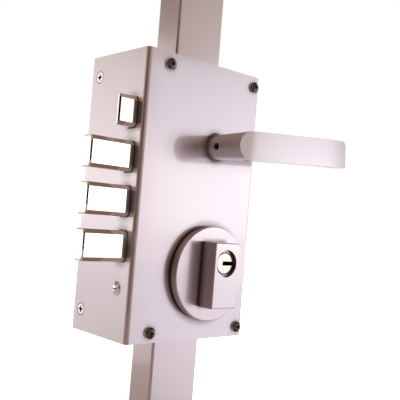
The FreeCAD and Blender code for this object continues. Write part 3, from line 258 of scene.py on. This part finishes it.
def metal(name, colour, roughness, spread=0.06, tint=0.05, bump=0.06, metallic=1.0, coat=0.0, coat_ior=1.5,
          coat_roughness=0.05, painted_shade_kept=1.0, painted_shade_reach=6.0 * mm, speckle=0.3, wear_and_highlight_gain=1.15):
    """Metal with a fine grain, a slow change of tint and roughness, lighter edges (wear, and painted
    highlights where the gain is large) and painted shade in crevices.
    """
    material, tree, shader = new_material(name)
    feed(tree, shader.inputs["Metallic"], metallic)
    feed(tree, shader.inputs["Coat Weight"], coat)
    feed(tree, shader.inputs["Coat IOR"], coat_ior)
    feed(tree, shader.inputs["Coat Roughness"], coat_roughness)
    place = tree.nodes.new("ShaderNodeTexCoord").outputs["Object"]
    slow = noise(tree, place, slow_noise)
    fine = noise(tree, place, fine_noise)
    speck = noise(tree, place, speck_noise)

    darker = opaque([channel * (1 - tint) for channel in colour])
    lighter = opaque([min(1.0, channel * (1 + tint)) for channel in colour])
    mottle = mixed(tree, "FLOAT", speckle, slow, speck)
    surface = mixed(tree, "RGBA", mottle, darker, lighter)

    # Edges lightened by pointiness: slight wear on most metals; where the gain is large, as on the black
    # screws, a painted highlight
    pointiness = tree.nodes.new("ShaderNodeNewGeometry").outputs["Pointiness"]
    wear_and_highlight = remapped(tree, pointiness, from_min=wear_and_highlight_from, from_max=wear_and_highlight_full, to_max=wear_and_highlight_share)
    wear_and_highlight_colour = opaque([min(1.0, channel * wear_and_highlight_gain) for channel in colour])
    surface = mixed(tree, "RGBA", wear_and_highlight, surface, wear_and_highlight_colour)

    # Painted shade: the colour is pulled toward a dark brown where ambient occlusion finds little open
    # space nearby
    if painted_shade_kept < 1.0:
        near_by = tree.nodes.new("ShaderNodeAmbientOcclusion")
        near_by.samples = painted_shade_samples
        feed(tree, near_by.inputs["Distance"], painted_shade_reach)
        openness = remapped(tree, near_by.outputs["AO"], from_min=painted_shade_open, to_min=painted_shade_kept)
        surface = mixed(tree, "RGBA", openness, opaque(painted_shade_colour), surface)
    feed(tree, shader.inputs["Base Color"], surface)

    rough = remapped(tree, slow, to_min=roughness - spread, to_max=roughness + spread)
    feed(tree, shader.inputs["Roughness"], rough)
    relief = tree.nodes.new("ShaderNodeBump")
    feed(tree, relief.inputs["Strength"], bump)
    feed(tree, relief.inputs["Distance"], grain_height)
    feed(tree, relief.inputs["Height"], fine)
    feed(tree, shader.inputs["Normal"], relief.outputs["Normal"])
    return material


# Metals and plastic: colour, roughness and what differs from the usual metal
# Settings named for crevices paint shade into them: the share of own colour kept where it is darkest, and
# how far it reaches
satin = {
    "spread": 0.04, "tint": 0.09, "speckle": 0.6, "bump": 0.3, "metallic": 0.9,
    "coat": 1.0, "coat_ior": 1.9, "coat_roughness": 0.06, "painted_shade_kept": 0.08,
}
# The rosette and guard are copies of the case's satin with their own reach of painted crevice shade
rosette_satin = {**satin, "metallic": 0.95, "painted_shade_kept": 0.04, "painted_shade_reach": 3.0 * mm}
guard_satin = {**satin, "metallic": 0.97, "painted_shade_kept": 0.02, "painted_shade_reach": 7.0 * mm}
handle_satin = {**satin, "metallic": 0.7}
polish = {"spread": 0.02, "tint": 0.02, "bump": 0.02}
# Black screws lighten their edges far past wear: painted highlights on rims and sockets
black_oxide = {"bump": 0.1, "coat": 1.0, "coat_ior": 1.6, "wear_and_highlight_gain": 14.0}
bare_screw = {"bump": 0.2, "metallic": 0.85, "painted_shade_kept": 0.01, "painted_shade_reach": 2.0 * mm}
plated_brass = {"bump": 0.1, "painted_shade_kept": 0.02, "painted_shade_reach": 1.5 * mm}
recipes = {
    "case_metal": ((0.54, 0.475, 0.55), 0.34, satin),
    # The rosette and guard colours are the case colour made lighter, as painted light
    "rosette_metal_lit": ((0.58, 0.505, 0.585), 0.37, rosette_satin),
    "guard_metal_lit": ((0.58, 0.51, 0.585), 0.33, guard_satin),
    "rod_cover_metal": ((0.52, 0.445, 0.50), 0.34, satin),
    "handle_metal": ((0.46, 0.41, 0.47), 0.34, handle_satin),
    "chrome": ((0.97, 0.96, 0.95), 0.05, polish),
    "zinc_steel": ((0.79, 0.82, 0.88), 0.18, {"bump": 0.2, "metallic": 0.75}),
    "black_screw": ((0.045, 0.036, 0.040), 0.18, black_oxide),
    "washer_steel": ((0.90, 0.87, 0.80), 0.35, {"bump": 0.2, "metallic": 0.6}),
    "screw_steel": ((0.86, 0.85, 0.86), 0.2, bare_screw),
    "spring_steel": ((0.38, 0.37, 0.36), 0.3, {"bump": 0.1}),
    "nickel_brass": ((0.67, 0.64, 0.59), 0.14, plated_brass),
    "brass": ((0.76, 0.58, 0.30), 0.22, {"bump": 0.1}),
    "nylon": ((0.11, 0.07, 0.05), 0.35, {"bump": 0.2, "metallic": 0.0}),
}
materials = {
    name: metal(name, colour, roughness, **traits)
    for name, (colour, roughness, traits) in recipes.items()
}

# Nodes whose material differs from their slot's: their own finish, or for the rosette and guard a lighter
# copy of the case metal with its own painted shade
own_finish = {
    "upper_rod_cover": "rod_cover_metal",
    "lower_rod_cover": "rod_cover_metal",
    "rosette_disc": "rosette_metal_lit",
    "cylinder_guard": "guard_metal_lit",
    "side_screws": "screw_steel",
    "cylinder_screw": "screw_steel",
    "cover_washers": "washer_steel",
}


def give_finish(mesh, node):
    """Give a mesh the material of a CAD node."""
    mesh.materials.clear()
    mesh.materials.append(materials[own_finish.get(node, slot_of_node[node])])


def stand_in(node, mesh):
    """Put a finished mesh in place of its CAD node."""
    piece = bpy.data.objects.new(node + "_look", mesh)
    bpy.context.scene.collection.objects.link(piece)
    give_finish(mesh, node)
    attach(piece, body_of_node[node])
    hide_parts(node)
    return piece


def dress(node):
    """A copy of a node's mesh with its flat faces joined and its sharp edges rounded."""
    mesh = frame["nodes"][node].data.copy()
    mesh.name = node + "_look"
    shape = bmesh.new()
    shape.from_mesh(mesh)
    bmesh.ops.remove_doubles(shape, verts=shape.verts, dist=joined_distance)
    flat = math.radians(flat_angle)
    bmesh.ops.dissolve_limit(shape, angle_limit=flat, verts=shape.verts, edges=shape.edges)
    shape.to_mesh(mesh)
    shape.free()
    if "custom_normal" in mesh.attributes:
        mesh.attributes.remove(mesh.attributes["custom_normal"])
    mesh.shade_smooth()
    bevel = stand_in(node, mesh).modifiers.new("edges", "BEVEL")
    bevel.width = edge_of.get(node, usual_edge)
    bevel.segments = edge_segments
    bevel.limit_method = "ANGLE"
    bevel.angle_limit = math.radians(sharp_angle)
    bevel.harden_normals = True
    bevel.use_clamp_overlap = True


def dress_latch_spring():
    """A copy of the latch's spring with a mesh of its own."""
    piece = stand_in("latch_spring", frame["nodes"]["latch_spring"].data.copy())
    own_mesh(piece)


def make_camera():
    """Camera at the photograph's place, turned by yaw, pitch and roll."""
    yaw = math.radians(camera_yaw)
    pitch = math.radians(camera_pitch)
    roll = math.radians(camera_roll)
    forward = Vector((math.sin(yaw) * math.cos(pitch), math.cos(yaw) * math.cos(pitch), math.sin(pitch)))
    level = Vector((math.cos(yaw), -math.sin(yaw), 0.0))
    upright = level.cross(forward)
    right = level * math.cos(roll) + upright * math.sin(roll)
    up = upright * math.cos(roll) - level * math.sin(roll)
    data = bpy.data.cameras.new("camera")
    data.lens = camera_lens
    data.sensor_width = sensor_width
    data.clip_start = nearest_view
    camera = bpy.data.objects.new("camera", data)
    bpy.context.scene.collection.objects.link(camera)
    turn = Matrix((right, up, -forward)).transposed().to_4x4()
    camera.matrix_world = Matrix.Translation(camera_place) @ turn
    bpy.context.scene.camera = camera


def finish_stage(name, mesh, material, shows_in):
    """Put a piece of the studio in the scene, seen only by the given kinds of rays."""
    piece = bpy.data.objects.new(name, mesh)
    bpy.context.scene.collection.objects.link(piece)
    mesh.materials.append(material)
    piece.visible_camera = "camera" in shows_in
    piece.visible_glossy = "glossy" in shows_in
    piece.visible_diffuse = "diffuse" in shows_in
    piece.visible_shadow = "shadow" in shows_in
    piece.visible_transmission = "camera" in shows_in


def glow(name, colour):
    """A surface that only glows."""
    material = bpy.data.materials.new(name)
    material.use_nodes = True
    tree = material.node_tree
    tree.nodes.clear()
    light = tree.nodes.new("ShaderNodeEmission")
    light.inputs["Color"].default_value = opaque(colour)
    out = tree.nodes.new("ShaderNodeOutputMaterial")
    tree.links.new(light.outputs["Emission"], out.inputs["Surface"])
    return material


def on_bearing(azimuth, distance, height):
    """Point on a bearing round the object."""
    bearing = math.radians(azimuth)
    return Vector((math.cos(bearing) * distance, math.sin(bearing) * distance, height))


def make_floor():
    """Plain pale floor under the lowest end."""
    mesh = bpy.data.meshes.new("floor")
    level = cad_low.z - floor_gap
    signs = [(-1, -1), (1, -1), (1, 1), (-1, 1)]
    corners = [(across * floor_reach, along * floor_reach, level) for across, along in signs]
    mesh.from_pydata(corners, [], [(0, 1, 2, 3)])
    material, tree, shader = new_material("floor")
    darkest, lightest = floor_tones
    tone = remapped(tree, noise(tree, None, floor_noise), to_min=darkest, to_max=lightest)
    feed(tree, shader.inputs["Base Color"], tone)
    feed(tree, shader.inputs["Roughness"], floor_roughness)
    feed(tree, shader.inputs["Specular IOR Level"], 0.0)
    feed(tree, shader.inputs["Emission Color"], opaque((1.0, 1.0, 1.0)))
    feed(tree, shader.inputs["Emission Strength"], floor_glow)
    finish_stage("floor", mesh, material, ("camera", "glossy", "diffuse", "shadow"))


def make_backdrop():
    """White surroundings that only the camera sees."""
    mesh = bpy.data.meshes.new("backdrop")
    shape = bmesh.new()
    bmesh.ops.create_uvsphere(shape, u_segments=2 * backdrop_rings, v_segments=backdrop_rings,
                              radius=backdrop_radius)
    shape.to_mesh(mesh)
    shape.free()
    finish_stage("backdrop", mesh, glow("backdrop", (1.0, 1.0, 1.0)), ("camera",))


def make_sector(name, azimuth, half_angle, inner, outer, colour, lift):
    """Sector just above the floor that has its own tone in reflections."""
    level = cad_low.z - floor_gap + lift
    points = []
    for step in range(sector_steps + 1):
        turn = azimuth - half_angle + 2 * half_angle * step / sector_steps
        points += [on_bearing(turn, inner, level), on_bearing(turn, outer, level)]
    faces = [(2 * step, 2 * step + 1, 2 * step + 3, 2 * step + 2) for step in range(sector_steps)]
    mesh = bpy.data.meshes.new(name)
    mesh.from_pydata(points, [], faces)
    finish_stage(name, mesh, glow(name, colour), ("glossy",))


def make_sectors():
    """All sectors of the floor."""
    for number in range(right_sectors):
        tone = right_tone + right_gain * number
        colour = (tone, tone * right_warmth, tone * right_warmth)
        bearing = right_first + right_step * number
        name = "carpet_right_%d" % number
        make_sector(name, bearing, right_step / 2, 0.0, right_reach, colour, low_patch)
    for name, settings in sectors.items():
        make_sector(name, *settings)


def make_top_light():
    """Large soft light overhead."""
    data = bpy.data.lights.new("top_light", "AREA")
    data.shape = "DISK"
    data.size = light_width
    data.energy = light_power
    light = bpy.data.objects.new("top_light", data)
    light.location = light_place
    light.visible_glossy = False
    bpy.context.scene.collection.objects.link(light)


def make_world():
    """Studio round the object: pale walls behind it, and the brown room that the camera stands in."""
    world = bpy.data.worlds.new("studio")
    bpy.context.scene.world = world
    world.use_nodes = True
    tree = world.node_tree
    back = tree.nodes["Background"]
    direction = tree.nodes.new("ShaderNodeTexCoord").outputs["Generated"]
    split = tree.nodes.new("ShaderNodeSeparateXYZ")
    tree.links.new(direction, split.inputs["Vector"])
    rise = remapped(tree, split.outputs["Z"], from_min=-1.0)

    def by_elevation(stops, level):
        """Colour that changes with the elevation, up to the brown ceiling."""
        ramp = tree.nodes.new("ShaderNodeValToRGB")
        marks = ramp.color_ramp.elements
        marks.remove(marks[1])
        marks[0].position = 1.0
        marks[0].color = opaque(ceiling_brown)
        lit_stops = [(elevation, [tone * level for tone in colour]) for elevation, colour in stops]
        for elevation, colour in lit_stops + [(ceiling_start, ceiling_brown)]:
            mark = marks.new((math.sin(math.radians(elevation)) + 1) / 2)
            mark.color = opaque(colour)
        tree.links.new(rise, ramp.inputs["Fac"])
        return ramp.outputs["Color"]

    def toward(azimuth, full, none):
        """Share that is one within an angle of a bearing and fades to none at a wider one."""
        near_to = tree.nodes.new("ShaderNodeVectorMath")
        near_to.operation = "DOT_PRODUCT"
        near_to.inputs[1].default_value = on_bearing(azimuth, 1.0, 0.0)
        tree.links.new(direction, near_to.inputs[0])
        fade_end = math.cos(math.radians(none))
        fade_start = math.cos(math.radians(full))
        return remapped(tree, near_to.outputs["Value"], fade_end, fade_start, curve="SMOOTHSTEP")

    left = by_elevation(left_wall, wall_level)
    dim_right = by_elevation(right_wall, wall_level)
    bright_right = by_elevation(right_wall, wall_level * bright_gain)
    right = mixed(tree, "RGBA", toward(*bright_zone), dim_right, bright_right)
    walls = mixed(tree, "RGBA", toward(*right_zone), left, right)
    walls = mixed(tree, "RGBA", toward(*rear_zone), walls, opaque(rear_grey))
    room = mixed(tree, "RGBA", toward(*dark_zone), opaque(room_brown), opaque(room_dark))
    around = mixed(tree, "RGBA", toward(*far_zone), room, walls)
    tree.links.new(around, back.inputs["Color"])
    back.inputs["Strength"].default_value = 1.0


for node in sorted(frame["nodes"]):
    if node in dressed:
        dress(node)
    elif node != "latch_spring":
        give_finish(frame["nodes"][node].data, node)
dress_latch_spring()

make_camera()
make_world()
make_floor()
make_backdrop()
make_top_light()
make_sectors()
bpy.context.scene.view_settings.view_transform = "Standard"
